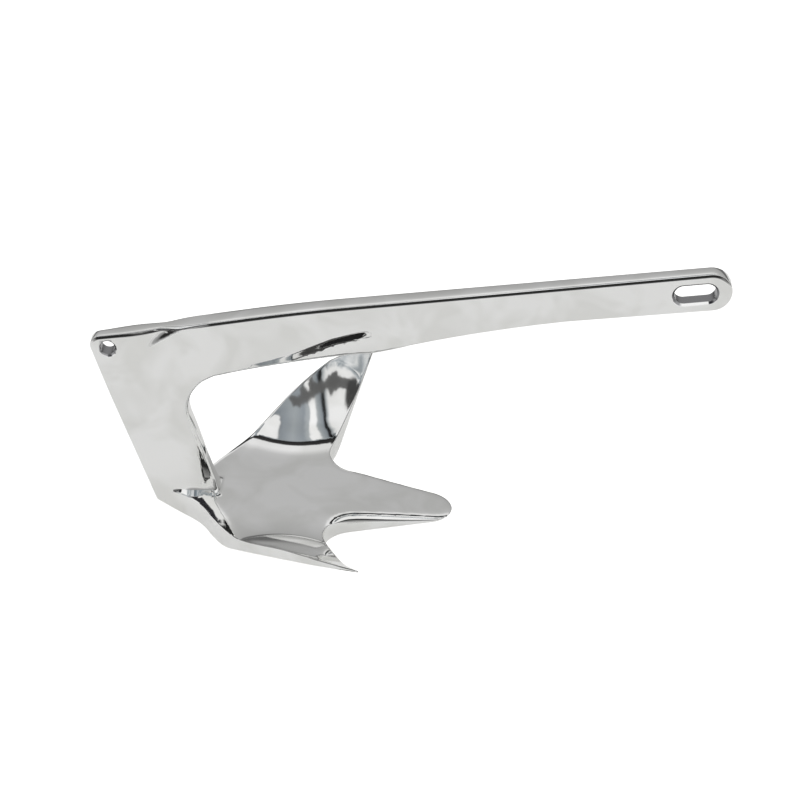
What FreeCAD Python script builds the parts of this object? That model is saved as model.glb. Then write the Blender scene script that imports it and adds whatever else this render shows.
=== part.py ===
import FreeCAD, Part
import Sketcher
import math
import os

# A one-piece cast claw anchor, as it stands on level ground.
# +X runs along the shank to its ring end, +Y across the claw, +Z up, in millimetres.
# Sketch stations along X are counted from the sharp corner of the crown plate,
# and heights from the flat sole. The body's placement then centres the anchor.

# Driving dimensions

SIZES = {
    # Shank
    "overall_length": 515.3,
    "shank_top_rise": 6.45,
    "shank_underside_rise": 5.6,
    "shank_bend_station": 169.0,
    "shank_bend_reach": 40.0,
    "ring_centre_height": 211.7,
    "ring_radius": 16.5,
    "shank_thickness": 18.8,
    "ring_thickness": 14.8,
    "taper_station": 150.0,
    "taper_floor_height": 110.0,
    "edge_chamfer": 1.3,
    # Depth of the beam below its top edge, from the throat to the ring end
    "throat_depth": 49.7,
    "mid_station": 228.0,
    "mid_depth": 44.9,
    "swell_station": 262.0,
    "swell_depth": 40.3,
    "front_station": 385.0,
    "arm_curve_radius": 1000.0,
    "swell_curve_radius": 350.0,
    "shank_curve_radius": 1200.0,
    # Leg and throat
    "leg_back_station": 53.9,
    "leg_foot_station": 106.0,
    "throat_low_station": 81.2,
    "throat_high_station": 106.7,
    "throat_height": 40.4,
    "throat_radius": 32.0,
    # Long bevel along both lower edges of the beam
    "bevel_rear_station": 88.0,
    "bevel_rear_height": 1.5,
    "bevel_rear_depth": 0.8,
    "bevel_wide_station": 228.0,
    "bevel_wide_height": 26.0,
    "bevel_wide_depth": 3.2,
    "bevel_front_station": 290.0,
    "bevel_front_height": 12.0,
    "bevel_overrun": 4.0,
    # Crown plate
    "crown_drop": 27.7,
    "crown_thickness": 11.8,
    "crown_corner_radius": 9.0,
    "crown_hollow_radius": 20.0,
    "crown_arc_station": 92.0,
    "crown_arc_drop": 65.3,
    "crown_arc_radius": 94.0,
    # Shackle slot and trip-line hole
    "slot_length": 34.0,
    "slot_width": 15.6,
    "slot_end_wall": 12.2,
    "slot_chamfer": 1.7,
    "trip_hole_diameter": 12.0,
    "trip_hole_station": 17.3,
    "trip_hole_drop": 8.1,
    "trip_hole_chamfer": 1.0,
    # Palm and flukes
    "palm_rear_station": 97.0,
    "palm_rear_height": 19.6,
    "palm_front_station": 225.0,
    "palm_front_height": 14.6,
    "fold_rear_half_width": 58.0,
    "fold_front_half_width": 88.0,
    "fluke_angle": 32.8,
    "fluke_rear_thickness": 13.5,
    "fluke_front_thickness": 2.6,
    "fold_top_radius": 55.0,
    "fold_sole_radius": 30.0,
    "sole_allowance": 0.6,
    "heel_radius": 50.0,
    "heel_sweep": 60.0,
    "heel_tangent_station": 82.0,
    # Plan outline of the claw
    "flare_station": 60.0,
    "flare_radius": 60.0,
    "rim_rear_station": 97.0,
    "rim_rear_half_width": 42.0,
    "rim_radius": 560.0,
    "rim_front_station": 187.0,
    "rim_front_half_width": 153.4,
    "tip_curve_radius": 95.0,
    "tip_station": 225.0,
    "tip_half_width": 170.0,
    "notch_station": 184.3,
    "notch_half_width": 44.4,
    "notch_radius": 26.0,
    "rim_chamfer": 1.0,
    # Centre toe
    "toe_length": 295.9,
    "toe_end_half_width": 20.8,
    "toe_nose_radius": 21.5,
    "toe_droop_station": 217.0,
    "toe_tip_height": 1.6,
    "toe_droop_radius": 90.0,
    # Blends
    "foot_fillet": 6.0,
    "margin": 12.0,
}

doc = FreeCAD.newDocument("claw_anchor_model")
sheet = doc.addObject("Spreadsheet::Sheet", "sizes")
for row, (alias, value) in enumerate(SIZES.items(), start=1):
    sheet.set(f"A{row}", alias)
    sheet.set(f"B{row}", str(value))
    sheet.setAlias(f"B{row}", alias)
doc.recompute()


def number(expression):
    """Present value of an expression over the sheet, for a sketch's first shape."""
    result = sheet.evalExpression(expression)
    return float(getattr(result, "Value", result))


# Sketch helpers


def plane(body, role):
    return next(item for item in body.Origin.OriginFeatures if item.Role == role)


def new_sketch(body, name, role, offset="0"):
    """An empty sketch on one of the body's origin planes, moved along its normal."""
    sketch = body.newObject("Sketcher::SketchObject", name)
    sketch.AttachmentSupport = (plane(body, role), [""])
    sketch.MapMode = "FlatFace"
    shift = FreeCAD.Vector(0, 0, number(offset))
    sketch.AttachmentOffset = FreeCAD.Placement(shift, FreeCAD.Rotation())
    sketch.setExpression("AttachmentOffset.Base.z", offset)
    return sketch


def arc_between(start, end, radius, turn):
    """Arc from start to end that turns left (+1) or right (-1) on its way."""
    chord = end - start
    half = chord.Length / 2
    rise = math.sqrt(max(radius * radius - half * half, 0.0))
    across = FreeCAD.Vector(-chord.y, chord.x, 0) / chord.Length
    centre = (start + end) / 2 + across * rise * turn
    circle = Part.Circle(centre, FreeCAD.Vector(0, 0, 1), radius)
    first, last = (start, end) if turn > 0 else (end, start)
    return Part.ArcOfCircle(circle, circle.parameter(first), circle.parameter(last))


def draw_loop(sketch, corners):
    """Closed outline. A corner is (x, y) or (x, y, radius, turn) when an arc leaves it."""
    points = [FreeCAD.Vector(number(item[0]), number(item[1]), 0) for item in corners]
    ends = []
    for index, item in enumerate(corners):
        start = points[index]
        end = points[(index + 1) % len(points)]
        if len(item) == 4:
            geometry = arc_between(start, end, number(item[2]), item[3])
            edge = sketch.addGeometry(geometry, False)
            ends.append((edge, 1, 2) if item[3] > 0 else (edge, 2, 1))
            rule = sketch.addConstraint(Sketcher.Constraint("Radius", edge, number(item[2])))
            sketch.setExpression(f"Constraints[{rule}]", item[2])
        else:
            edge = sketch.addGeometry(Part.LineSegment(start, end), False)
            ends.append((edge, 1, 2))
    for index, item in enumerate(corners):
        edge, first, last = ends[index]
        following, next_first, _ = ends[(index + 1) % len(ends)]
        sketch.addConstraint(Sketcher.Constraint("Coincident", edge, last, following, next_first))
        for kind, expression in (("DistanceX", item[0]), ("DistanceY", item[1])):
            rule = sketch.addConstraint(
                Sketcher.Constraint(kind, -1, 1, edge, first, number(expression)))
            sketch.setExpression(f"Constraints[{rule}]", expression)


def mirror_corners(corners, flip):
    """The same open outline on the other side of an axis, run the other way round."""
    flipped = []
    for index in range(len(corners) - 1, -1, -1):
        x, y = corners[index][:2]
        point = (f"-({x})", y) if flip == "x" else (x, f"-({y})")
        arc = tuple(corners[index - 1][2:]) if index > 0 else ()
        flipped.append(point + arc)
    return flipped


def add_feature(body, kind, name, profile, length=None, driven=None, **settings):
    """Pad, pocket, loft or turned cut from a profile, checked for adding or removing material
    as it should. Further properties can be driven by expressions."""
    before = body.Tip.Shape.Volume if body.Tip else 0.0
    feature = body.newObject(kind, name)
    feature.Profile = profile
    for setting, value in settings.items():
        setattr(feature, setting, value)
    if length:
        feature.setExpression("Length", length)
    for setting, expression in (driven or {}).items():
        feature.setExpression(setting, expression)
    doc.recompute()
    removes = kind in ("PartDesign::Pocket", "PartDesign::SubtractiveLoft", "PartDesign::Groove")
    if feature.Shape.isNull() or (feature.Shape.Volume < before) != removes:
        raise RuntimeError(f"{name} works the wrong way")
    return feature


def dress_up(body, kind, name, edges, size_property, expression, **settings):
    """Fillet or chamfer on edges of the present tip, found by where they lie."""
    base = body.Tip
    if not edges:
        raise ValueError(f"{name} found no edges")
    feature = body.newObject(kind, name)
    feature.Base = (base, edges)
    for setting, value in settings.items():
        setattr(feature, setting, value)
    feature.setExpression(size_property, expression)
    doc.recompute()
    return feature


def find_edges(body, wanted):
    """Names of the tip's edges whose curve passes the test, given as a function of an edge."""
    names = []
    for index, edge in enumerate(body.Tip.Shape.Edges, start=1):
        if wanted(edge):
            names.append(f"Edge{index}")
    return names


def samples(edge, count=9):
    first, last = edge.ParameterRange
    return [edge.valueAt(first + (last - first) * step / (count - 1)) for step in range(count)]


def face_normal(face, point):
    """Outward normal of a face at a point on it."""
    u, v = face.Surface.parameter(point)
    return face.normalAt(u, v)


def wall_normal(shape, edge, upper):
    """Normal of the upright wall that an edge tops (upper) or foots, or None for other edges."""
    first, last = edge.ParameterRange
    middle = edge.valueAt((first + last) / 2)
    normals = [face_normal(face, middle) for face in shape.ancestorsOfType(edge, Part.Face)]
    if len(normals) != 2:
        return None
    normals.sort(key=lambda normal: abs(normal.z))
    wall, skin = normals
    if abs(wall.z) > 0.05 or (skin.z > 0.3) != upper or abs(skin.z) < 0.3:
        return None
    return wall


def lies_at(edge, **place):
    """True when the whole edge keeps to a station (x), side distance (side) or height (z)."""
    for point in samples(edge):
        found = {"x": point.x, "side": abs(point.y), "z": point.z}
        for key, expression in place.items():
            if abs(found[key] - number(expression)) > 0.05:
                return False
    return True


BOTH_WAYS = {"Type": "ThroughAll", "SideType": "Symmetric"}
anchor = doc.addObject("PartDesign::Body", "claw_anchor")
anchor.Label = "claw_anchor"
doc.recompute()

# Claw slab: palm, sole and folded flukes as one gull-wing section drawn at two stations

SLOPE = "tan(sizes.fluke_angle * 1deg)"
HALF_FOLD = "tan(sizes.fluke_angle * 0.5deg)"
WING = "(sizes.tip_half_width + sizes.margin)"


def fold_section(name, station, fold, height, thickness):
    """Gull-wing section across the claw: flat sole, flat palm, flukes rising at one angle.
    The sole is drawn lower by an allowance, which is ground off at the end."""
    rise = f"({WING} - {fold}) * {SLOPE}"
    low_fold = f"({fold} - sizes.sole_allowance / {SLOPE})"
    palm_half = f"({fold} + ({height} - {thickness}) / {SLOPE})"
    sole_run = f"sizes.fold_sole_radius * {HALF_FOLD}"
    palm_run = f"sizes.fold_top_radius * {HALF_FOLD}"
    cosine = "cos(sizes.fluke_angle * 1deg)"
    sine = "sin(sizes.fluke_angle * 1deg)"
    half = [
        (f"{low_fold} - {sole_run}", "-sizes.sole_allowance", "sizes.fold_sole_radius", 1),
        (f"{low_fold} + {sole_run} * {cosine}", f"{sole_run} * {sine} - sizes.sole_allowance"),
        (WING, rise),
        (WING, f"{rise} + {thickness}"),
        (f"{palm_half} + {palm_run} * {cosine}", f"{height} + {palm_run} * {sine}",
         "sizes.fold_top_radius", -1),
        (f"{palm_half} - {palm_run}", height),
    ]
    sketch = new_sketch(anchor, name, "YZ_Plane", station)
    draw_loop(sketch, half + mirror_corners(half, "x"))
    return sketch


run = "(sizes.palm_front_station - sizes.palm_rear_station)"
fold_rate = f"((sizes.fold_front_half_width - sizes.fold_rear_half_width) / {run})"
thickness_rate = f"((sizes.fluke_front_thickness - sizes.fluke_rear_thickness) / {run})"
palm_rate = f"((sizes.palm_front_height - sizes.palm_rear_height) / {run})"


def at_station(station):
    """Fold half width, palm height and fluke thickness at a station, along straight lines."""
    step = f"({station} - sizes.palm_rear_station)"
    return (f"(sizes.fold_rear_half_width + {fold_rate} * {step})",
            f"(sizes.palm_rear_height + {palm_rate} * {step})",
            f"(sizes.fluke_rear_thickness + {thickness_rate} * {step})")


slab_rear = "(sizes.leg_back_station - 2 * sizes.margin)"
slab_front = "(sizes.tip_station + sizes.margin / 2)"
rear_section = fold_section("claw_rear_section", slab_rear, *at_station(slab_rear))
front_section = fold_section("claw_front_section", slab_front, *at_station(slab_front))
AHEAD = "(sizes.toe_length + sizes.margin)"
toe_fold, toe_height, _ = at_station(AHEAD)
toe_thickness = at_station(slab_front)[2]
toe_section = fold_section("claw_toe_section", AHEAD, toe_fold, toe_height, toe_thickness)
add_feature(anchor, "PartDesign::AdditiveLoft", "claw_slab", rear_section,
            Sections=[front_section, toe_section], Ruled=True)

# Centre toe: its top falls from the palm to the tip

palm_at_droop = at_station("sizes.toe_droop_station")[1]
toe_fall = new_sketch(anchor, "toe_fall_profile", "XZ_Plane")
clear_height = "(sizes.palm_rear_height + sizes.margin)"
draw_loop(toe_fall, [
    ("sizes.toe_droop_station", palm_at_droop),
    ("sizes.toe_length", "sizes.toe_tip_height"),
    (f"{AHEAD} + sizes.margin", "sizes.toe_tip_height"),
    (f"{AHEAD} + sizes.margin", clear_height),
    ("sizes.toe_droop_station", clear_height),
])
add_feature(anchor, "PartDesign::Pocket", "toe_fall", toe_fall,
            "2 * sizes.notch_half_width + 2 * sizes.margin", SideType="Symmetric")
droop_edges = find_edges(anchor, lambda edge: lies_at(
    edge, x="sizes.toe_droop_station", z=palm_at_droop))
dress_up(anchor, "PartDesign::Fillet", "toe_droop_blend", droop_edges, "Radius",
         "sizes.toe_droop_radius")

# Plan outline of the claw: everything outside it is cut away

BEHIND = f"({slab_rear} - sizes.margin)"
BEYOND = "(sizes.toe_length + 2 * sizes.margin)"
BESIDE = f"({WING} + sizes.margin)"
nose_station = ("(sizes.toe_length - sizes.toe_nose_radius"
                " + sqrt(pow(sizes.toe_nose_radius; 2) - pow(sizes.toe_end_half_width; 2)))")


def bearing(x, y):
    """Direction in plan from the notch's sharp corner to a point."""
    return f"atan2({y} - sizes.notch_half_width; {x} - sizes.notch_station)"


def notch_point(direction):
    """Where the notch's round meets the straight edge that runs off in a direction."""
    reach = f"(sizes.notch_radius / tan(({to_tip} - {to_nose}) / 2))"
    return (f"(sizes.notch_station + {reach} * cos({direction}))",
            f"(sizes.notch_half_width + {reach} * sin({direction}))")


to_tip = bearing("sizes.tip_station", "sizes.tip_half_width")
to_nose = bearing(nose_station, "sizes.toe_end_half_width")
half_plan = [
    (f"{slab_rear} - sizes.margin / 2", "sizes.shank_thickness / 2"),
    ("sizes.flare_station", "sizes.shank_thickness / 2", "sizes.flare_radius", 1),
    ("sizes.rim_rear_station", "sizes.rim_rear_half_width", "sizes.rim_radius", -1),
    ("sizes.rim_front_station", "sizes.rim_front_half_width", "sizes.tip_curve_radius", -1),
    ("sizes.tip_station", "sizes.tip_half_width"),
    notch_point(to_tip) + ("sizes.notch_radius", 1),
    notch_point(to_nose),
    (nose_station, "sizes.toe_end_half_width", "sizes.toe_nose_radius", -1),
]
plan = new_sketch(anchor, "claw_plan", "XY_Plane")
draw_loop(plan, half_plan + mirror_corners(half_plan, "y"))
draw_loop(plan, [
    (BEHIND, f"-{BESIDE}"),
    (BEYOND, f"-{BESIDE}"),
    (BEYOND, BESIDE),
    (BEHIND, BESIDE),
])
add_feature(anchor, "PartDesign::Pocket", "claw_trim", plan, **BOTH_WAYS)

# Sole: the allowance is ground off level

sole_cut = new_sketch(anchor, "sole_profile", "XZ_Plane")
draw_loop(sole_cut, [
    (BEHIND, "-2 * sizes.sole_allowance"),
    (BEYOND, "-2 * sizes.sole_allowance"),
    (BEYOND, "0"),
    (BEHIND, "0"),
])
add_feature(anchor, "PartDesign::Pocket", "ground_sole", sole_cut, **BOTH_WAYS)

# Polished rim: the upper edges of the claw lose their corner, save beside the leg

shape = anchor.Tip.Shape
rims = []
for index, edge in enumerate(shape.Edges, start=1):
    normal = wall_normal(shape, edge, True)
    if normal and edge.BoundBox.XMin > number("sizes.flare_station") - 0.1:
        rims.append(f"Edge{index}")
dress_up(anchor, "PartDesign::Chamfer", "rim_bevel", rims, "Size", "sizes.rim_chamfer")

# Beam: shank, throat and leg as one thick side profile

TOP_SLOPE = "tan(sizes.shank_top_rise * 1deg)"
UNDER_SLOPE = "tan(sizes.shank_underside_rise * 1deg)"
ring_station = "(sizes.overall_length - sizes.ring_radius)"
top_end = (f"({ring_station} - sizes.ring_radius * sin(sizes.shank_top_rise * 1deg))",
           "(sizes.ring_centre_height + sizes.ring_radius * cos(sizes.shank_top_rise * 1deg))")
under_end = (f"({ring_station} + sizes.ring_radius * sin(sizes.shank_underside_rise * 1deg))",
             "(sizes.ring_centre_height - sizes.ring_radius * cos(sizes.shank_underside_rise * 1deg))")
bend_height = f"({top_end[1]} - ({top_end[0]} - sizes.shank_bend_station) * {TOP_SLOPE})"
crown_height = f"({bend_height} - sizes.crown_drop)"
under_front_height = f"({under_end[1]} - ({under_end[0]} - sizes.front_station) * {UNDER_SLOPE})"
root_height = "(sizes.palm_rear_height / 2)"
REAR_SLOPE = "(sizes.crown_drop / sizes.shank_bend_station)"
top_lean = f"atan({REAR_SLOPE})"
back_lean = f"atan2({crown_height}; sizes.leg_back_station)"


def rear_top(station):
    """Height of the top edge between the crown corner and the bend."""
    return f"({crown_height} + {REAR_SLOPE} * {station})"


def front_top(station):
    """Height of the top edge between the bend and the ring end."""
    return f"({bend_height} + ({station} - sizes.shank_bend_station) * {TOP_SLOPE})"


def back_station(height):
    """Station of the leg's straight back edge at a height."""
    return f"(sizes.leg_back_station * (1 - {height} / {crown_height}))"


throat_high_height = f"({rear_top('sizes.throat_high_station')} - sizes.throat_depth)"
throat_low_height = f"({throat_high_height} - sizes.throat_height)"
bend_rear = "(sizes.shank_bend_station - sizes.shank_bend_reach)"
bend_front = "(sizes.shank_bend_station + sizes.shank_bend_reach)"
bend_radius = f"(sizes.shank_bend_reach / tan(({top_lean} - sizes.shank_top_rise * 1deg) / 2))"

beam_profile = new_sketch(anchor, "beam_profile", "XZ_Plane")
draw_loop(beam_profile, [
    (back_station(root_height), root_height),
    ("sizes.leg_foot_station", root_height),
    ("sizes.throat_low_station", throat_low_height, "sizes.throat_radius", -1),
    ("sizes.throat_high_station", throat_high_height, "sizes.arm_curve_radius", -1),
    ("sizes.mid_station", f"{front_top('sizes.mid_station')} - sizes.mid_depth",
     "sizes.swell_curve_radius", 1),
    ("sizes.swell_station", f"{front_top('sizes.swell_station')} - sizes.swell_depth",
     "sizes.shank_curve_radius", -1),
    ("sizes.front_station", under_front_height),
    under_end + ("sizes.ring_radius", 1),
    ("sizes.overall_length", "sizes.ring_centre_height", "sizes.ring_radius", 1),
    top_end,
    (bend_front, front_top(bend_front), bend_radius, 1),
    (bend_rear, rear_top(bend_rear)),
    ("0", crown_height),
])
add_feature(anchor, "PartDesign::Pad", "beam", beam_profile, "sizes.shank_thickness",
            SideType="Symmetric")

# Leg foot: a tight fillet all round where the leg meets the palm

palm_low = number("sizes.palm_front_height")
palm_high = number("sizes.palm_rear_height + sizes.margin / 3")
foot_start = number("sizes.flare_station") - 0.1
foot_reach = number("sizes.leg_foot_station") + 1
foot_side = number("sizes.shank_thickness / 2") + 0.1


def at_foot(edge):
    box = edge.BoundBox
    return (palm_low < box.ZMin and box.ZMax < palm_high
            and foot_start < box.XMin and box.XMax < foot_reach
            and -foot_side < box.YMin and box.YMax < foot_side
            and edge.Length > number("sizes.margin"))


foot_edges = find_edges(anchor, at_foot)
dress_up(anchor, "PartDesign::Fillet", "leg_foot_blend", foot_edges, "Radius", "sizes.foot_fillet")

# Shank sides taper in plan towards the ring end

taper_start = "sizes.shank_thickness / 2"
taper_end = ("(sizes.ring_thickness / 2 - (sizes.shank_thickness - sizes.ring_thickness) / 2"
             " * sizes.margin / (sizes.overall_length - sizes.taper_station))")
past_ring = "(sizes.overall_length + sizes.margin)"
shank_sides = new_sketch(anchor, "shank_taper_plan", "XY_Plane", "sizes.taper_floor_height")
wedge = [
    ("sizes.taper_station", taper_start),
    (past_ring, taper_end),
    (past_ring, "sizes.shank_thickness"),
    ("sizes.taper_station", "sizes.shank_thickness"),
]
draw_loop(shank_sides, wedge)
draw_loop(shank_sides, mirror_corners(wedge, "y"))
add_feature(anchor, "PartDesign::Pocket", "shank_taper", shank_sides, Type="ThroughAll", Reversed=True)

# Long bevel along both lower edges: widest above the claw, fading out along the shank

def bevel_section(name, station, underside, height, depth, side):
    """Corner cut off the beam's section at a station, as a triangle reaching just outside it."""
    outside = f"(sizes.shank_thickness / 2 - {depth})"
    top = f"({underside} + {height})"
    lean = f"({depth} / {height})"
    sketch = new_sketch(anchor, name, "YZ_Plane", station)
    face = "(sizes.shank_thickness / 2)"
    draw_loop(sketch, [
        (f"{side} * ({face} + {lean} * sizes.bevel_overrun)", f"{top} + sizes.bevel_overrun"),
        (f"{side} * ({outside} - {lean} * sizes.bevel_overrun)", f"{underside} - sizes.bevel_overrun"),
        (f"{side} * ({face} + sizes.margin)", f"{underside} - sizes.bevel_overrun"),
        (f"{side} * ({face} + sizes.margin)", f"{top} + sizes.bevel_overrun"),
    ])
    return sketch


rear_under = f"({rear_top('sizes.throat_high_station')} - sizes.throat_depth)"
wide_under = f"({front_top('sizes.bevel_wide_station')} - sizes.mid_depth)"
front_under = f"({front_top('sizes.bevel_front_station')} - sizes.swell_depth)"
for side, word in ((1, "left"), (-1, "right")):
    sections = [
        bevel_section(f"{word}_bevel_front", "sizes.bevel_front_station", front_under,
                      "sizes.bevel_front_height", "0", side),
        bevel_section(f"{word}_bevel_wide", "sizes.bevel_wide_station", wide_under,
                      "sizes.bevel_wide_height", "sizes.bevel_wide_depth", side),
        bevel_section(f"{word}_bevel_rear", "sizes.bevel_rear_station", rear_under,
                      "sizes.bevel_rear_height", "sizes.bevel_rear_depth", side),
    ]
    add_feature(anchor, "PartDesign::SubtractiveLoft", f"{word}_lower_bevel", sections[0],
                Sections=sections[1:], Ruled=True)

# Polished edges: from one long top edge the bevel runs on along every edge tangent to it


def top_edge(edge, side):
    """The straight top edge of the shank's front stretch, on one side."""
    box = edge.BoundBox
    middle = (box.YMin + box.YMax) / 2 * side
    return (middle > number("sizes.ring_thickness / 2") and abs(box.XMin - number(bend_front)) < 0.1
            and abs(box.ZMax - number(top_end[1])) < 0.1)


for side, word in ((1, "left"), (-1, "right")):
    long_edges = find_edges(anchor, lambda edge: top_edge(edge, side))
    dress_up(anchor, "PartDesign::Chamfer", f"{word}_edge_bevel", long_edges, "Size",
             "sizes.edge_chamfer")

# Crown plate: behind an arc from the top edge to the leg's back, both sides are turned down to
# a thinner corner plate. A hollow round leads up from the plate to the full thickness.

arc_top = rear_top("sizes.crown_arc_station")
arc_foot = f"({crown_height} - sizes.crown_arc_drop)"
arc_run = f"(sizes.crown_arc_station - {back_station(arc_foot)})"
arc_fall = f"({arc_top} - {arc_foot})"
arc_chord = f"sqrt(pow({arc_run}; 2) + pow({arc_fall}; 2))"
arc_rise = f"sqrt(pow(sizes.crown_arc_radius; 2) - pow({arc_chord} / 2; 2))"
arc_centre = (f"(sizes.crown_arc_station - {arc_run} / 2 + {arc_rise} * {arc_fall} / {arc_chord})",
              f"({arc_top} - {arc_fall} / 2 - {arc_rise} * {arc_run} / {arc_chord})")
plate_face = "(sizes.crown_thickness / 2)"
above_beam = "(sizes.shank_thickness / 2 + sizes.bevel_overrun)"


def hollow_run(depth):
    """How far in the hollow round has reached where it stands a height above the plate."""
    return f"sqrt(pow(sizes.crown_hollow_radius; 2) - pow(sizes.crown_hollow_radius - {depth}; 2))"


hollow_foot = (f"({arc_centre[0]} - sizes.crown_arc_radius"
               f" - {hollow_run('(sizes.shank_thickness / 2 - ' + plate_face + ')')})")
hollow_top = f"({hollow_foot} + {hollow_run(f'({above_beam} - {plate_face})')})"
turned = [
    (hollow_foot, plate_face, "sizes.crown_hollow_radius", 1),
    (hollow_top, above_beam),
    ("-2 * sizes.margin", above_beam),
    ("-2 * sizes.margin", plate_face),
]
turning = new_sketch(anchor, "crown_turning_profile", "XY_Plane", arc_centre[1])
draw_loop(turning, turned)
draw_loop(turning, mirror_corners(turned, "y"))
axis_ends = [FreeCAD.Vector(number(arc_centre[0]), number(end), 0)
             for end in (f"-{plate_face}", plate_face)]
axis = turning.addGeometry(Part.LineSegment(*axis_ends), True)
for point, end in ((1, f"-{plate_face}"), (2, plate_face)):
    for kind, expression in (("DistanceX", arc_centre[0]), ("DistanceY", end)):
        rule = turning.addConstraint(Sketcher.Constraint(kind, -1, 1, axis, point, number(expression)))
        turning.setExpression(f"Constraints[{rule}]", expression)
add_feature(anchor, "PartDesign::Groove", "crown_plate", turning, Type="TwoAngles",
            ReferenceAxis=(turning, ["Axis0"]),
            driven={"Angle": f"90deg - {top_lean}", "Angle2": f"90deg - {back_lean}"})

# Heel: the slab is trimmed flush with the leg's back and rounded up to it

heel_back = new_sketch(anchor, "heel_back_profile", "XZ_Plane")
under_sole = "-sizes.margin"
draw_loop(heel_back, [
    (back_station(under_sole), under_sole),
    (back_station(throat_low_height), throat_low_height),
    (f"{BEHIND} - sizes.margin", throat_low_height),
    (f"{BEHIND} - sizes.margin", under_sole),
])
add_feature(anchor, "PartDesign::Pocket", "heel_back", heel_back, **BOTH_WAYS)
heel_arc = new_sketch(anchor, "heel_round_profile", "XZ_Plane")
heel_top = "sizes.heel_radius * (1 - cos(sizes.heel_sweep * 1deg))"
heel_start = "(sizes.heel_tangent_station - sizes.heel_radius * sin(sizes.heel_sweep * 1deg))"
draw_loop(heel_arc, [
    (heel_start, heel_top, "sizes.heel_radius", 1),
    ("sizes.heel_tangent_station", "0"),
    ("sizes.heel_tangent_station", under_sole),
    (BEHIND, under_sole),
    (BEHIND, heel_top),
])
add_feature(anchor, "PartDesign::Pocket", "heel_round", heel_arc, **BOTH_WAYS)

# Crown corner

corner_edges = find_edges(anchor, lambda edge: lies_at(edge, x="0", z=crown_height))
dress_up(anchor, "PartDesign::Fillet", "crown_corner", corner_edges, "Radius",
         "sizes.crown_corner_radius")

# Shackle slot and trip-line hole

slot = new_sketch(anchor, "slot_profile", "XZ_Plane")
tilt = "(sizes.shank_top_rise * 1deg)"
reach = "((sizes.slot_length - sizes.slot_width) / 2)"
slot_station = "(sizes.overall_length - sizes.slot_end_wall - sizes.slot_length / 2)"
slot_height = f"(sizes.ring_centre_height - ({ring_station} - {slot_station}) * tan{tilt})"
slot_radius = "(sizes.slot_width / 2)"
slot_end = [
    (reach, f"-{slot_radius}", slot_radius, 1),
    (f"({reach} + {slot_radius})", "0", slot_radius, 1),
    (reach, slot_radius),
]
corners = []
for side in (1, -1):
    for along, across, *arc in slot_end:
        corner_x = f"{slot_station} + {side} * ({along} * cos{tilt} - {across} * sin{tilt})"
        corner_z = f"{slot_height} + {side} * ({along} * sin{tilt} + {across} * cos{tilt})"
        corners.append((corner_x, corner_z, *arc))
draw_loop(slot, corners)
add_feature(anchor, "PartDesign::Pocket", "shackle_slot", slot, **BOTH_WAYS)


def rounds(edge, station, height, reach_expression):
    """True for an edge on a side face that keeps close to a point of the side profile."""
    limit = number(reach_expression) + 0.1
    found = samples(edge)
    near = all(math.hypot(point.x - number(station), point.z - number(height)) < limit
               for point in found)
    return near and max(abs(point.y - found[0].y) for point in found) < 1


slot_rims = find_edges(anchor, lambda edge: rounds(
    edge, slot_station, slot_height, "sizes.slot_length / 2"))
dress_up(anchor, "PartDesign::Chamfer", "slot_bevel", slot_rims, "Size", "sizes.slot_chamfer")

trip_hole = new_sketch(anchor, "trip_hole_profile", "XZ_Plane")
hole_height = f"({crown_height} - sizes.trip_hole_drop)"
centre = FreeCAD.Vector(number("sizes.trip_hole_station"), number(hole_height), 0)
ring = trip_hole.addGeometry(
    Part.Circle(centre, FreeCAD.Vector(0, 0, 1), number("sizes.trip_hole_diameter / 2")), False)
for kind, expression in (("DistanceX", "sizes.trip_hole_station"), ("DistanceY", hole_height)):
    rule = trip_hole.addConstraint(Sketcher.Constraint(kind, -1, 1, ring, 3, number(expression)))
    trip_hole.setExpression(f"Constraints[{rule}]", expression)
rule = trip_hole.addConstraint(Sketcher.Constraint("Diameter", ring, number("sizes.trip_hole_diameter")))
trip_hole.setExpression(f"Constraints[{rule}]", "sizes.trip_hole_diameter")
add_feature(anchor, "PartDesign::Pocket", "trip_line_hole", trip_hole, **BOTH_WAYS)
hole_rims = find_edges(anchor, lambda edge: rounds(
    edge, "sizes.trip_hole_station", hole_height, "sizes.trip_hole_diameter / 2"))
dress_up(anchor, "PartDesign::Chamfer", "trip_hole_bevel", hole_rims, "Size",
         "sizes.trip_hole_chamfer")

# Placement: the middle of the length, short of the rounded crown corner, stands at the origin

corner_loss = (f"sizes.crown_corner_radius * (cos(({back_lean} - {top_lean}) / 2)"
               f" / sin(({back_lean} + {top_lean}) / 2) - 1)")
shift = f"-(sizes.overall_length + {corner_loss}) / 2"
anchor.Placement.Base.x = number(shift)
anchor.setExpression("Placement.Base.x", shift)
doc.recompute()

# Every object must have recomputed, and the casting must be one sound solid

for item in doc.Objects:
    if "Invalid" in item.State or "Error" in item.State:
        raise RuntimeError(f"{item.Name} failed: {item.State}")
shape = anchor.Shape
if shape.isNull() or not shape.isValid() or len(shape.Solids) != 1:
    raise RuntimeError("the anchor is not one valid solid")
os.makedirs("parts", exist_ok=True)
shape.exportStep(f"parts/{anchor.Label}.step")
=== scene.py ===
import math

import bmesh
import bpy
from mathutils import Matrix, Vector


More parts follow.
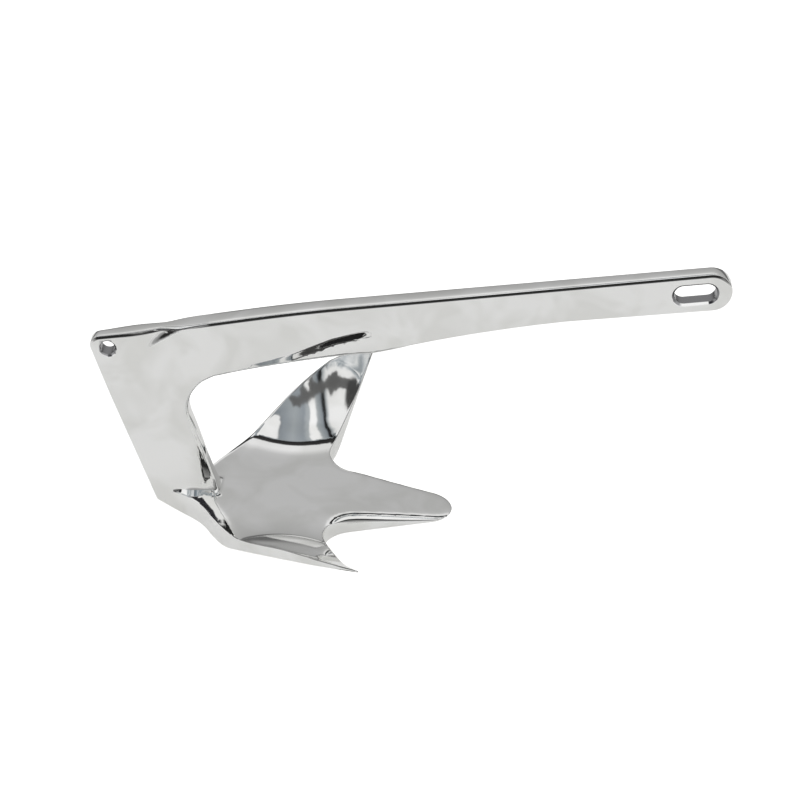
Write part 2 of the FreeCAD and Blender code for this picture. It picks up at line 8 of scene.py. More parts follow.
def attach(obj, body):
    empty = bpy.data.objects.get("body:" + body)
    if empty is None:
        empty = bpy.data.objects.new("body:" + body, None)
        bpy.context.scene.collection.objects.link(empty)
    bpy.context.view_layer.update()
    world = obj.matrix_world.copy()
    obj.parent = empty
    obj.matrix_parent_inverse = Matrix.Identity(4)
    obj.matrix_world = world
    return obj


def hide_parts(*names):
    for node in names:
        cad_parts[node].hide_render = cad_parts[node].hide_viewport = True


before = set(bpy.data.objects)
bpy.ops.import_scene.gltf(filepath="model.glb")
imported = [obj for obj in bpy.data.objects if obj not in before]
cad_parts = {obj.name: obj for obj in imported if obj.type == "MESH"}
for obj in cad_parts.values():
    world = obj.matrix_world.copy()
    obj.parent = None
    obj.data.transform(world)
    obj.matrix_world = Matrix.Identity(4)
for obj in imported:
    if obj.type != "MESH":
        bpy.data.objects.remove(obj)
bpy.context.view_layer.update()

# Camera at the photograph's angle

VIEW_HEIGHT = math.radians(31.0)
VIEW_TURN = math.radians(1.4)
VIEW_DISTANCE = 2.0
LOOK_AT = Vector((-0.0065, 0.0, 0.1057))
SENSOR_WIDTH = 36.0
LENS = 110.43

back = Vector((math.sin(VIEW_TURN) * math.cos(VIEW_HEIGHT),
               -math.cos(VIEW_TURN) * math.cos(VIEW_HEIGHT),
               math.sin(VIEW_HEIGHT)))
camera_data = bpy.data.cameras.new("camera")
camera_data.sensor_width = SENSOR_WIDTH
camera_data.lens = LENS
camera = bpy.data.objects.new("camera", camera_data)
camera.location = LOOK_AT + back * VIEW_DISTANCE
camera.rotation_euler = back.to_track_quat("Z", "Y").to_euler()
bpy.context.scene.collection.objects.link(camera)
bpy.context.scene.camera = camera
bpy.context.scene.view_settings.view_transform = "Standard"

# Outlines, in millimetres, with stations counted from the crown plate's sharp corner

MM = 0.001
MIDDLE_STATION = 259.087
LINE_STEP = 7.0
ARC_TURN = math.radians(6.0)


def slope_of(degrees):
    """Slope of a line that rises at an angle."""
    return math.tan(math.radians(degrees))


def smooth_step(value, low, high):
    """0 below low, 1 above high, and an even swing between them."""
    share = min(max((value - low) / (high - low), 0.0), 1.0)
    return share * share * (3 - 2 * share)


def round_over(distance, radius):
    """How far a rounded edge has fallen at a distance in from the edge."""
    if distance >= radius:
        return 0.0
    return radius - math.sqrt(max(radius * radius - (radius - distance) ** 2, 0.0))


def arc_centre(start, end, radius, turn):
    """Centre of the arc from start to end that turns left (+1) or right (-1)."""
    chord = end - start
    rise = math.sqrt(max(radius * radius - chord.length_squared / 4, 0.0))
    across = Vector((-chord.y, chord.x)).normalized()
    return (start + end) / 2 + across * rise * turn


def arc_points(start, end, radius, turn):
    """Points along an arc, without its end."""
    centre = arc_centre(start, end, radius, turn)
    sweep = 2 * math.asin(min((end - start).length / 2 / radius, 1.0))
    count = max(math.ceil(sweep * radius / LINE_STEP), math.ceil(sweep / ARC_TURN), 1)
    arm = start - centre
    return [centre + Matrix.Rotation(turn * sweep * index / count, 2) @ arm for index in range(count)]


def line_points(start, end):
    """Points along a straight line, without its end."""
    count = max(int((end - start).length / LINE_STEP), 1)
    return [start.lerp(end, index / count) for index in range(count)]


def outline(corners):
    """Closed outline from corners (x, y), or (x, y, radius, turn) where an arc leaves them."""
    points = []
    for corner, after in zip(corners, corners[1:] + corners[:1]):
        start = Vector(corner[:2])
        end = Vector(after[:2])
        if len(corner) == 4:
            points += arc_points(start, end, corner[2], corner[3])
        else:
            points += line_points(start, end)
    return points


def distance_to(points):
    """A function giving the distance from a point to a closed outline."""
    spans = [(a, b - a, max((b - a).length_squared, 1e-9))
             for a, b in zip(points, points[1:] + points[:1])]

    def distance(x, y):
        """Distance from one point, kept squared until the nearest line is known."""
        best = math.inf
        for start, along, length in spans:
            dx = x - start.x
            dy = y - start.y
            share = min(max((dx * along.x + dy * along.y) / length, 0.0), 1.0)
            dx -= share * along.x
            dy -= share * along.y
            best = min(best, dx * dx + dy * dy)
        return math.sqrt(best)
    return distance


def corner_tangents(corner, before, after, radius):
    """Where a round of a radius touches the two edges that meet at a corner."""
    corner = Vector(corner)
    to_before = (Vector(before) - corner).normalized()
    to_after = (Vector(after) - corner).normalized()
    reach = radius / math.tan(to_before.angle(to_after) / 2)
    return corner + to_before * reach, corner + to_after * reach


# Flat sheets that become the two halves of a solid

GRID = 3.0
CUT_NEAR = 0.02


def flat_sheet(bm, points, rows):
    """A flat outline with rows of faces along its edge and a square grid inside them."""
    face = bm.faces.new([bm.verts.new((point.x, point.y, 0.0)) for point in points])
    done = 0.0
    for row in rows:
        bmesh.ops.inset_region(bm, faces=[face], thickness=row - done, use_even_offset=True,
                               use_boundary=True)
        done = row
    inner = [face]
    for normal in (Vector((1, 0, 0)), Vector((0, 1, 0))):
        places = [normal.dot(point.to_3d()) for point in points]
        first = min(places) + GRID / 2
        for index in range(int((max(places) - first) / GRID) + 1):
            edges = dict.fromkeys(edge for one in inner for edge in one.edges)
            corners = dict.fromkeys(vert for one in inner for vert in one.verts)
            cut = bmesh.ops.bisect_plane(bm, geom=[*inner, *edges, *corners], dist=CUT_NEAR,
                                         plane_co=normal * (first + index * GRID), plane_no=normal)
            inner = list(dict.fromkeys(item for item in cut["geom"] + cut["geom_cut"]
                                       if isinstance(item, bmesh.types.BMFace)))


def thicken(bm):
    """Raises a copy of the flat sheet by one unit and closes the edge between the two."""
    grown = bmesh.ops.extrude_face_region(bm, geom=bm.faces[:], use_keep_orig=True)
    raised = [item for item in grown["geom"] if isinstance(item, bmesh.types.BMVert)]
    bmesh.ops.translate(bm, verts=raised, vec=(0, 0, 1))


def make_object(name, bm):
    """Object with the mesh, its faces turned outwards."""
    bmesh.ops.recalc_face_normals(bm, faces=bm.faces)
    mesh = bpy.data.meshes.new(name)
    bm.to_mesh(mesh)
    bm.free()
    piece = bpy.data.objects.new(name, mesh)
    bpy.context.scene.collection.objects.link(piece)
    return piece


# Side profile of the beam: leg, throat, shank and ring end, with the crown plate's corner

SHANK_RISE = 6.45
UNDER_RISE = 5.6
RING = Vector((498.8, 211.7))
RING_RADIUS = 16.47
BEND = 169.0
BEND_REACH = 40.0
CROWN_FALL = 27.7
REAR_RISE = CROWN_FALL / BEND
CORNER_RADIUS = 9.12
LEG_BACK_RUN = 53.9
LEG_MIDDLE = 60.0
HEEL_STATION = 82.0
HEEL_RADIUS = 50.0
FOOT_FRONT = (101.6, 23.7)
THROAT_STATION = 106.7
THROAT_DEPTH = 49.7
THROAT_LOW_STATION = 81.2
THROAT_FALL = 40.4
SWELL_END = 228.0
SWELL_DEPTH = 44.9
NECK = 262.0
NECK_DEPTH = 40.3
TAPER_START = 385.0


def ring_point(rise, side):
    """Where an edge of the shank with a rise in degrees meets the ring end's round."""
    angle = math.radians(rise)
    return RING + RING_RADIUS * side * Vector((-math.sin(angle), math.cos(angle)))


ring_top = ring_point(SHANK_RISE, 1)
ring_under = ring_point(UNDER_RISE, -1)
bend_height = ring_top.y - (ring_top.x - BEND) * slope_of(SHANK_RISE)
crown_height = bend_height - CROWN_FALL


def rear_top(station):
    """Height of the top line behind the bend."""
    return crown_height + REAR_RISE * station


def front_top(station):
    """Height of the top line ahead of the bend."""
    return bend_height + (station - BEND) * slope_of(SHANK_RISE)


def leg_back(height):
    """Station of the leg's back edge."""
    return LEG_BACK_RUN * (1 - height / crown_height)


throat_high = Vector((THROAT_STATION, rear_top(THROAT_STATION) - THROAT_DEPTH))
throat_low = Vector((THROAT_LOW_STATION, throat_high.y - THROAT_FALL))
front_under = Vector((TAPER_START, ring_under.y - (ring_under.x - TAPER_START) * slope_of(UNDER_RISE)))
bend_from = Vector((BEND - BEND_REACH, rear_top(BEND - BEND_REACH)))
bend_to = Vector((BEND + BEND_REACH, front_top(BEND + BEND_REACH)))
bend_turn = (math.atan(REAR_RISE) - math.radians(SHANK_RISE)) / 2
corner_back, corner_top = corner_tangents((0.0, crown_height), (leg_back(LEG_MIDDLE), LEG_MIDDLE),
                                          bend_from, CORNER_RADIUS)

# The heel's round, which touches the ground, is followed up to the leg's back
heel_centre = Vector((HEEL_STATION, HEEL_RADIUS))
heel_height = next(tenths / 10 for tenths in range(250, 0, -1)
                   if (Vector((leg_back(tenths / 10), tenths / 10)) - heel_centre).length >= HEEL_RADIUS)

beam_outline = outline([
    (leg_back(heel_height), heel_height, HEEL_RADIUS, 1),
    (80.0, 0.05),
    (100.0, 6.0),
    (112.5, 11.0),
    (112.5, 18.7),
    (107.6, 18.9, 6.0, -1),
    FOOT_FRONT,
    (*throat_low, 32.0, -1),
    (*throat_high, 1000.0, -1),
    (SWELL_END, front_top(SWELL_END) - SWELL_DEPTH, 350.0, 1),
    (NECK, front_top(NECK) - NECK_DEPTH, 1200.0, -1),
    tuple(front_under),
    (*ring_under, RING_RADIUS, 1),
    (RING.x + RING_RADIUS, RING.y, RING_RADIUS, 1),
    tuple(ring_top),
    (*bend_to, BEND_REACH / math.tan(bend_turn), 1),
    tuple(bend_from),
    (*corner_top, CORNER_RADIUS, 1),
    tuple(corner_back),
])
to_beam_edge = distance_to(beam_outline)

# Step down to the crown plate, outside an arc that runs from the top line to the leg's back

CROWN_ARC_STATION = 92.0
CROWN_ARC_FALL = 65.3
CROWN_ARC_RADIUS = 94.0
CROWN_STEP = 3.5
BROW = 1.3
HOLLOW_RADIUS = 9.0
HOLLOW_RAMP = 44.0
HOLLOW_FADE = (120.0, 137.0)
WEDGE_SLOPE = 0.60
WEDGE_EASE = 1.2
WEDGE_FADE = (112.0, 121.0)
LEG_FRONT = 104.0
arc_start = Vector((CROWN_ARC_STATION, rear_top(CROWN_ARC_STATION)))
arc_end = Vector((leg_back(crown_height - CROWN_ARC_FALL), crown_height - CROWN_ARC_FALL))
crown_centre = arc_centre(arc_start, arc_end, CROWN_ARC_RADIUS, 1)


def past_arc(station, height):
    """How far a point of the side profile lies outside the crown's arc."""
    return (Vector((station, height)) - crown_centre).length - CROWN_ARC_RADIUS


def wedge_drop(outside):
    """Step down by an even slope, eased at its foot."""
    left = CROWN_STEP / WEDGE_SLOPE + WEDGE_EASE / 2 - outside
    if left <= 0.0:
        return CROWN_STEP
    run = left * left / (2 * WEDGE_EASE) if left < WEDGE_EASE else left - WEDGE_EASE / 2
    return max(CROWN_STEP - WEDGE_SLOPE * run, 0.0)


def crown_drop(station, height):
    """Fall from the beam to the plate: a wedge at the top, a tight hollow, a soft ramp at the leg."""
    outside = past_arc(station, height)
    if outside < BROW:
        outside = max(outside + BROW, 0.0) ** 2 / (4 * BROW)
    around = math.degrees(math.atan2(height - crown_centre.y, station - crown_centre.x))
    tight = CROWN_STEP * (1 - smooth_step(around, *HOLLOW_FADE))
    reach = math.sqrt(HOLLOW_RADIUS ** 2 - (HOLLOW_RADIUS - tight) ** 2)
    left = max(reach - outside, 0.0)
    drop = tight - (HOLLOW_RADIUS - math.sqrt(HOLLOW_RADIUS ** 2 - left ** 2))
    drop += (CROWN_STEP - tight) * smooth_step(outside, 0.0, HOLLOW_RAMP)
    wedge = 1 - smooth_step(around, *WEDGE_FADE)
    return drop * (1 - wedge) + wedge_drop(outside) * wedge


# Bevel along the beam's lower edges ahead of the throat

UNDER_BOW = 1.8
UNDER_BOW_MIDDLE = 167.3
UNDER_BOW_HALF = 60.7
BEVEL_WIDTHS = [(100.0, 3.5), (127.0, 7.0), (150.0, 8.0), (167.0, 10.0), (199.0, 19.0),
                (223.0, 22.5)]
BEVEL_START = (96.0, 106.0)
BEVEL_END = (218.0, 236.0)
BEVEL_DEPTH = 24.0
BEVEL_SLOPE = slope_of(0.8)
COVE_SLOPE = slope_of(12.5)
COVE_EASE = 1.2
COVE_DEPTH = 7.0


def underside(station):
    """Height of the beam's lower edge ahead of the throat."""
    station = max(station, THROAT_STATION)
    if station >= SWELL_END:
        return front_top(station) - SWELL_DEPTH + (SWELL_DEPTH - NECK_DEPTH) * smooth_step(
            station, SWELL_END, NECK)
    rise = front_top(SWELL_END) - SWELL_DEPTH - throat_high.y
    line = throat_high.y + rise * (station - THROAT_STATION) / (SWELL_END - THROAT_STATION)
    return line + UNDER_BOW * (1 - ((station - UNDER_BOW_MIDDLE) / UNDER_BOW_HALF) ** 2)


def bevel_width(station):
    """Height of the bevel at a station."""
    for (before, narrow), (after, wide) in zip(BEVEL_WIDTHS, BEVEL_WIDTHS[1:]):
        if station < after:
            share = min(max((station - before) / (after - before), 0.0), 1.0)
            return narrow + (wide - narrow) * share
    return BEVEL_WIDTHS[-1][1]


def bevel_drop(station, height):
    """Fall of the side below the bevel's upper line: a cove, then a flat facet."""
    run = underside(station) + bevel_width(station) - height
    run = min(max(run, 0.0), BEVEL_DEPTH)
    if run < COVE_EASE:
        drop = COVE_SLOPE * run * run / (2 * COVE_EASE)
    else:
        drop = COVE_SLOPE * (min(run, COVE_DEPTH) - COVE_EASE / 2)
        drop += BEVEL_SLOPE * max(run - COVE_DEPTH, 0.0)
    return drop * smooth_step(station, *BEVEL_START) * (1 - smooth_step(station, *BEVEL_END))


# Roll along the leg's front edge, broad near the foot

ROLL_WIDTH = 2.4
ROLL_SPREAD = 8.6
ROLL_NARROWS = (50.0, 76.0)
ROLL_SLOPE = slope_of(17.0)
ROLL_EASE = 2.0
ROLL_HEIGHTS = (24.0, 34.0)
ROLL_STATION = 60.0


def leg_roll(station, height):
    """Fall of the leg's side towards its front edge."""
    foot_station, foot_height = FOOT_FRONT
    lean = (foot_station - throat_low.x) / (throat_low.y - foot_height)
    front = foot_station - (height - foot_height) * lean
    width = ROLL_WIDTH + ROLL_SPREAD * (1 - smooth_step(height, *ROLL_NARROWS))
    run = width - max(front - station, 0.0)
    if run <= 0.0 or height > throat_low.y:
        return 0.0
    eased = run * run / (2 * ROLL_EASE) if run < ROLL_EASE else run - ROLL_EASE / 2
    return ROLL_SLOPE * smooth_step(height, *ROLL_HEIGHTS) * eased


# Half thickness of the beam over its side profile

HALF_THICKNESS = 9.4
RING_THINNING = 2.0
THINNING_START = 150.0
THINNING_RUN = 365.3
FOOT_FILLET = 6.5
FOOT_STATIONS = (58.0, 82.0)
PALM_START = 97.0
PALM_RUN = 128.0
PALM_HEIGHT = 19.6
PALM_SLOPE = -5.0 / PALM_RUN


def palm_height(station):
    """Height of the palm's level top."""
    return PALM_HEIGHT + PALM_SLOPE * (station - PALM_START)


def beam_half(station, height):
    """Half thickness of the beam at a point of its side profile, before its edges are rounded."""
    half = HALF_THICKNESS - RING_THINNING * max(station - THINNING_START, 0.0) / THINNING_RUN
    if station < LEG_FRONT and height > LEG_MIDDLE and past_arc(station, height) > -BROW:
        half -= crown_drop(station, height)
    if station > BEVEL_START[0] and height > throat_low.y:
        half -= bevel_drop(station, height)
    if ROLL_STATION < station < LEG_FRONT and height > ROLL_HEIGHTS[0]:
        half -= leg_roll(station, height)
    foot = max(height - palm_height(station), 0.0)
    flare = FOOT_FILLET * smooth_step(station, *FOOT_STATIONS)
    if foot < flare:
        half += round_over(foot, flare)
    return half


# Edges of the beam: a narrow facet and a tight round along the top, a plain round elsewhere

EDGE_ROUND = 2.5
FACET_TILT = math.radians(28.5)
FACET_DEPTH = 2.75
FACET_EASE = 0.3
FACET_ROUND = 1.0
FACET_FADE = (9.0, 4.0)
FACET_GAP = (-2.0, 0.0, 5.0, 9.0)
FACET_GAP_END = 100.0


def facet_fall(distance):
    """Fall of the faceted top edge at a distance in from it."""
    join_at = FACET_ROUND * (1 - math.sin(FACET_TILT))
    run = FACET_DEPTH - max(distance, join_at)
    if run <= 0.0:
        return 0.0
    if run < FACET_EASE:
        return math.tan(FACET_TILT) * run * run / (2 * FACET_EASE)
    fall = math.tan(FACET_TILT) * (run - FACET_EASE / 2)
    if distance < join_at:
        fall += round_over(distance, FACET_ROUND) - round_over(join_at, FACET_ROUND)
    return fall


def edge_fall(station, height):
    """Fall of the beam's side towards its edge. The facet pauses at the crown plate's wedge."""
    edge = to_beam_edge(station, height)
    top = rear_top(station) if station < BEND else front_top(min(station, RING.x))
    faceted = smooth_step(height, top - FACET_FADE[0], top - FACET_FADE[1])
    if station < FACET_GAP_END:
        outside = past_arc(station, height)
        gap = smooth_step(outside, *FACET_GAP[:2]) * (1 - smooth_step(outside, *FACET_GAP[2:]))
        faceted *= 1 - gap
    return round_over(edge, EDGE_ROUND) * (1 - faceted) + facet_fall(edge) * faceted


# The beam, with finer faces where its side turns quickly

BEAM_ROWS = (0.15, 0.35, 0.55, 0.8, 1.35, 2.0, 2.4, 2.75, 3.3)
FINE_EDGE = 1.2
FINE_ARC = (-3.0, 12.0)
FINE_COVE = (-9.5, 3.0)
FINE_COVE_STATIONS = (109.0, 238.0)


def needs_fine(vert):
    """Whether a corner of the sheet lies at the crown's hollow or the bevel's cove."""
    station, height = vert.co.xy
    if station < LEG_FRONT and height > LEG_MIDDLE:
        if FINE_ARC[0] < past_arc(station, height) < FINE_ARC[1]:
            return True
    above = height - underside(station) - bevel_width(station)
    first, last = FINE_COVE_STATIONS
    return first < station < last and FINE_COVE[0] < above < FINE_COVE[1]


def build_beam():
    """Leg, crown plate, shank and ring end in one closed mesh."""
    bm = bmesh.new()
    flat_sheet(bm, beam_outline, BEAM_ROWS)
    fine_edges = [edge for edge in bm.edges
                  if edge.calc_length() > FINE_EDGE and all(needs_fine(vert) for vert in edge.verts)]
    bmesh.ops.subdivide_edges(bm, edges=fine_edges, cuts=2, use_grid_fill=True)
    thicken(bm)
    for vert in bm.verts:
        station, height, side = vert.co
        half = beam_half(station, height) - edge_fall(station, height)
        vert.co = Vector((station - MIDDLE_STATION, half * (1 if side > 0.5 else -1), height)) * MM
    return make_object("anchor_casting", bm)


# Plan of the claw: palm, flukes and centre toe

NOTCH = Vector((184.3, 44.4))
NOTCH_RADIUS = 26.0
NOSE_STATION = 295.9
NOSE_RADIUS = 21.5
NOSE_HALF = 20.8
TIP = Vector((225.0, 170.0))
TIP_CLEAR = 13.0
nose = Vector((NOSE_STATION - NOSE_RADIUS + math.sqrt(NOSE_RADIUS ** 2 - NOSE_HALF ** 2), NOSE_HALF))
to_tip = (TIP - NOTCH).normalized()
to_nose = (nose - NOTCH).normalized()
notch_reach = NOTCH_RADIUS / math.tan(to_tip.angle(to_nose) / 2)
half_plan = [
    (50.0, 8.6),
    (60.0, 9.05, 60.0, 1),
    (97.0, 42.0, 560.0, -1),
    (187.0, 153.4, 95.0, -1),
    tuple(TIP),
    (*(NOTCH + to_tip * notch_reach), NOTCH_RADIUS, 1),
    tuple(NOTCH + to_nose * notch_reach),
    (*nose, NOSE_RADIUS, -1),
]


def mirrored(corners):
    """The same open outline across the centre line, run the other way round."""
    flipped = []
    for index in range(len(corners) - 1, -1, -1):
        x, y = corners[index][:2]
        arc = corners[index - 1][2:] if index > 0 else ()
        flipped.append((x, -y, *arc))
    return flipped


def clear_of_tips(point):
    """Points close to a fluke's sharp tip are dropped, as the rows along the edge meet there."""
    reach = (Vector((point.x, abs(point.y))) - TIP).length
    return reach < 0.01 or reach > TIP_CLEAR


claw_outline = [point for point in outline(half_plan + mirrored(half_plan)) if clear_of_tips(point)]
claw_outline.reverse()
to_claw_edge = distance_to(claw_outline)

# Crease between palm and fluke: a slow start, a quick turn, then the hollow fluke

FLUKE_ANGLE = 32.8
FLUKE_SLOPE = slope_of(FLUKE_ANGLE)
CREASE_SIDE = 68.5
CREASE_CURVE = 0.0078
CREASE_STATION = 160.0
CREASE_LEAD = 26.0
CREASE_SLOW = 25.0
CREASE_END = 29.0
CREASE_TURN = 9.0
CREASE_STEP = 0.25
SLOPE_GAP = FLUKE_SLOPE - slope_of(2 * CREASE_TURN)


def crease(station):
    """Side distance of the crease, nearest the middle half way along."""
    return CREASE_SIDE + CREASE_CURVE * (station - CREASE_STATION) ** 2


def crease_rows():
    """Rise across the crease, step by step."""
    rows = [0.0]
    for step in range(int(CREASE_END / CREASE_STEP)):
        run = (step + 0.5) * CREASE_STEP
        turned = min(run / CREASE_SLOW, 1.0) ** 1.5 + smooth_step(run, CREASE_SLOW, CREASE_END)
        rows.append(rows[-1] + slope_of(CREASE_TURN * turned) * CREASE_STEP)
    return rows


crease_rise = crease_rows()


def palm_fold(station, side, hinge):
    """Rise of the top over the level palm: crease, hollow fluke, then the fluke's straight slope."""
    run = side - min(crease(station), hinge) + CREASE_LEAD
    if run <= 0.0:
        return 0.0
    if run < CREASE_END:
        index = int(run / CREASE_STEP)
        share = run / CREASE_STEP - index
        after = min(index + 1, len(crease_rise) - 1)
        return crease_rise[index] * (1 - share) + crease_rise[after] * share
    straight = (side - hinge) * FLUKE_SLOPE
    gap = crease_rise[-1] + (run - CREASE_END - side + hinge) * FLUKE_SLOPE
    length = 2 * gap / SLOPE_GAP
    left = max(length - (run - CREASE_END), 0.0)
    return straight + SLOPE_GAP / (2 * length) * left * left


# Top and underside of the claw over its plan

FOLD_SIDE = 58.0
FOLD_SPREAD = 30.0 / PALM_RUN
THICKNESS = 13.5
THINNING = 10.9 / PALM_RUN
LEAST_THICKNESS = 2.6
TOE_SIDE = 50.0
DROOP_START = 217.0
DROOP_SLOPE = -0.1686
DROOP_EASE = 6.0
BOW = 0.6
BOW_CURVE = 0.001
BOW_STATION = 182.0
BOW_SIDES = (76.0, 116.0)
UNDER_FOLD = 30.0
HEEL_CLEAR = 0.15


def fold_side(station):
    """Side distance of the line along which the underside folds up."""
    return FOLD_SIDE + FOLD_SPREAD * (station - PALM_START)


def claw_top(station, side):
    """Height of the top: level palm, drooping toe and raised flukes."""
    palm = palm_height(station)
    thickness = max(THICKNESS - THINNING * (station - PALM_START), LEAST_THICKNESS)
    hinge = fold_side(station) + (palm - thickness) / FLUKE_SLOPE
    run = station - DROOP_START
    if side < TOE_SIDE and run > DROOP_EASE:
        palm = palm_height(DROOP_START) + DROOP_SLOPE * run
    elif side < TOE_SIDE and run > -DROOP_EASE:
        eased = run + DROOP_EASE
        palm += (DROOP_SLOPE - PALM_SLOPE) * eased ** 2 / (4 * DROOP_EASE)
    bow = BOW - BOW_CURVE * (station - BOW_STATION) ** 2
    return palm + palm_fold(station, side, hinge) + bow * smooth_step(side, *BOW_SIDES)


def claw_under(station, side):
    """Height of the underside: flat sole, raised flukes and rounded heel."""
    hinge = fold_side(station)
    reach = UNDER_FOLD * slope_of(FLUKE_ANGLE / 2)
    fold = 0.0
    if side >= hinge + reach * math.cos(math.radians(FLUKE_ANGLE)):
        fold = (side - hinge) * FLUKE_SLOPE
    elif side > hinge - reach:
        fold = UNDER_FOLD - math.sqrt(UNDER_FOLD ** 2 - (side - hinge + reach) ** 2)
    heel = 0.0
    if station < HEEL_STATION:
        heel = round_over(HEEL_RADIUS - (HEEL_STATION - station), HEEL_RADIUS) + HEEL_CLEAR
    return max(fold, heel)


# The claw, with rounded edges and a shallow trough inside the rear rim

CLAW_ROWS = (0.3, 0.7, 1.2, 1.9, 2.7, 3.6)
TROUGH_WIDTH = 9.0
TROUGH_START = (62.0, 100.0)
TROUGH_END = (106.0, 136.0)
TROUGH_EDGE = (0.8, 2.4)
TROUGH_SLOPE = slope_of(17.0)
FAR_TROUGH = 0.2
LEAST_RIM = 1.6
TOP_ROUND = (1.4, 0.4)
UNDER_ROUND = (0.9, 0.25)
TOE_STATIONS = (188.0, 214.0)
TOE_LIMIT = 62.0
TOE_ROUND = 6.5
TOE_FALL = 0.62


def rim_trough(station, side, edge):
    """Depth of the trough inside the rim, which is widest a little ahead of the foot."""
    wide = TROUGH_WIDTH * smooth_step(station, *TROUGH_START) * (1 - smooth_step(station, *TROUGH_END))
    if wide < 0.05:
        return 0.0
    deep = wide * TROUGH_SLOPE * (1 if side < 0.0 else FAR_TROUGH)
    inside = max(edge - TROUGH_EDGE[1], 0.0)
    return deep * smooth_step(edge, *TROUGH_EDGE) * max(1 - inside / wide, 0.0)


def rim_round(edge, thickness, shape):
    """Fall of a rim's round, held to a share of the thickness where the rim is thin."""
    radius, share = shape
    return round_over(edge, min(radius, thickness * share))


def build_claw():
    """Palm, flukes and toe in one closed mesh."""
    bm = bmesh.new()
    flat_sheet(bm, claw_outline, CLAW_ROWS)
    thicken(bm)
    for vert in bm.verts:
        station, side, level = vert.co
        edge = to_claw_edge(station, side)
        low = claw_under(station, abs(side))
        high = max(claw_top(station, abs(side)), low + LEAST_RIM)
        drop = rim_round(edge, high - low, TOP_ROUND)
        if edge < TOE_ROUND and abs(side) < TOE_LIMIT:
            toe_drop = (high - low) * TOE_FALL * round_over(edge / TOE_ROUND, 1.0)
            drop += (toe_drop - drop) * smooth_step(station, *TOE_STATIONS)
        drop += rim_trough(station, side, edge)
        rise = rim_round(edge, high - low, UNDER_ROUND)
        height = high - drop if level > 0.5 else low + rise
        vert.co = Vector((station - MIDDLE_STATION, side, height)) * MM
    return make_object("claw", bm)


# Shackle slot and trip-line hole, with bevelled mouths

SLOT_RADIUS = 7.8
SLOT_RUN = 9.2
SLOT_STATION = 486.1
SLOT_MOUTH = 1.7
HOLE_RADIUS = 6.0
HOLE_STATION = 17.3
HOLE_DROP = 8.1
HOLE_MOUTH = 1.0
MOUTH_SHAPE = [(0.12, 0.88), (1.0, 0.0), (1.25, 0.0)]
PLUG_REACH = 3.0
ROUND_PARTS = 24
slot_centre = Vector((SLOT_STATION, RING.y - (RING.x - SLOT_STATION) * slope_of(SHANK_RISE)))
hole_centre = Vector((HOLE_STATION, crown_height - HOLE_DROP))

# Centre, radius, half run between the round ends, tilt, and depth of the bevel
openings = {
    "slot_plug": (slot_centre, SLOT_RADIUS, SLOT_RUN, math.radians(SHANK_RISE), SLOT_MOUTH),
    "hole_plug": (hole_centre, HOLE_RADIUS, 0.0, 0.0, HOLE_MOUTH),
}


def opening_outline(centre, radius, half_run, tilt):
    """Points round an opening with two round ends, each with its outward direction."""
    turn = Matrix.Rotation(tilt, 2)
    places = []
    for side in (1, -1):
        for index in range(ROUND_PARTS + 1):
            if half_run == 0.0 and index == ROUND_PARTS:
                continue
            angle = math.pi * (index / ROUND_PARTS - side / 2)
            arm = Vector((math.cos(angle), math.sin(angle)))
            places.append((centre + turn @ (Vector((side * half_run, 0.0)) + arm * radius), turn @ arm))
    return places


def opening_plug(name, centre, radius, half_run, tilt, mouth):
    """A closed plug that cuts an opening and the bevels at its two mouths."""
    half = beam_half(*centre)
    rows = [(-half - PLUG_REACH, mouth + PLUG_REACH)]
    rows += [(-half + depth * mouth, growth * mouth) for depth, growth in MOUTH_SHAPE]
    rows += [(-side, growth) for side, growth in reversed(rows)]
    bm = bmesh.new()
    rings = []
    for side, growth in rows:
        ring = []
        for point, outward in opening_outline(centre, radius, half_run, tilt):
            place = point + outward * growth
            ring.append(bm.verts.new(Vector((place.x - MIDDLE_STATION, side, place.y)) * MM))
        rings.append(ring)
    loops = [[bm.edges.new(pair) for pair in zip(ring, ring[1:] + ring[:1])] for ring in rings]
    for first, second in zip(loops, loops[1:]):
        bmesh.ops.bridge_loops(bm, edges=first + second)
    bm.faces.new(rings[0])
    bm.faces.new(rings[-1])
    return make_object(name, bm)


# Satin finish and painted shade on the walls of the openings, held in a vertex attribute

BEVEL_LIMIT = 0.92
LOWER_BEVEL = (0.86, 0.98)
WALL_START = 1.2


def satin_and_shade_share(place, centre, radius, half_run, tilt, mouth):
    """1 on an opening's wall and bevels, which get a satin finish and painted shade; 0 on the slot's
    lower bevel and outside.
    """
    arm = Vector((place.x / MM + MIDDLE_STATION, place.z / MM)) - centre
    arm = Matrix.Rotation(-tilt, 2) @ arm
    arm.x -= min(max(arm.x, -half_run), half_run)
    if arm.length - radius > BEVEL_LIMIT * mouth:
        return 0.0
    on_wall = abs(place.y) / MM < beam_half(*centre) - mouth * WALL_START
    if on_wall or half_run == 0.0:
        return 1.0
    return 1.0 - smooth_step(-arm.y / arm.length, *LOWER_BEVEL)


# One casting: beam and claw joined, then the openings cut

SHARP_EDGE = math.radians(32.0)
SEAM_GAP = 0.08 * MM


def join(target, other, operation):
    """Boolean of two closed meshes, applied to the first; the second is used up."""
    modifier = target.modifiers.new("join", "BOOLEAN")
    modifier.object = other
    modifier.operation = operation
    modifier.solver = "EXACT"
    bpy.context.view_layer.update()
    graph = bpy.context.evaluated_depsgraph_get()
    mesh = bpy.data.meshes.new_from_object(target.evaluated_get(graph))
    target.modifiers.clear()
    target.data = mesh
    bpy.data.objects.remove(other)


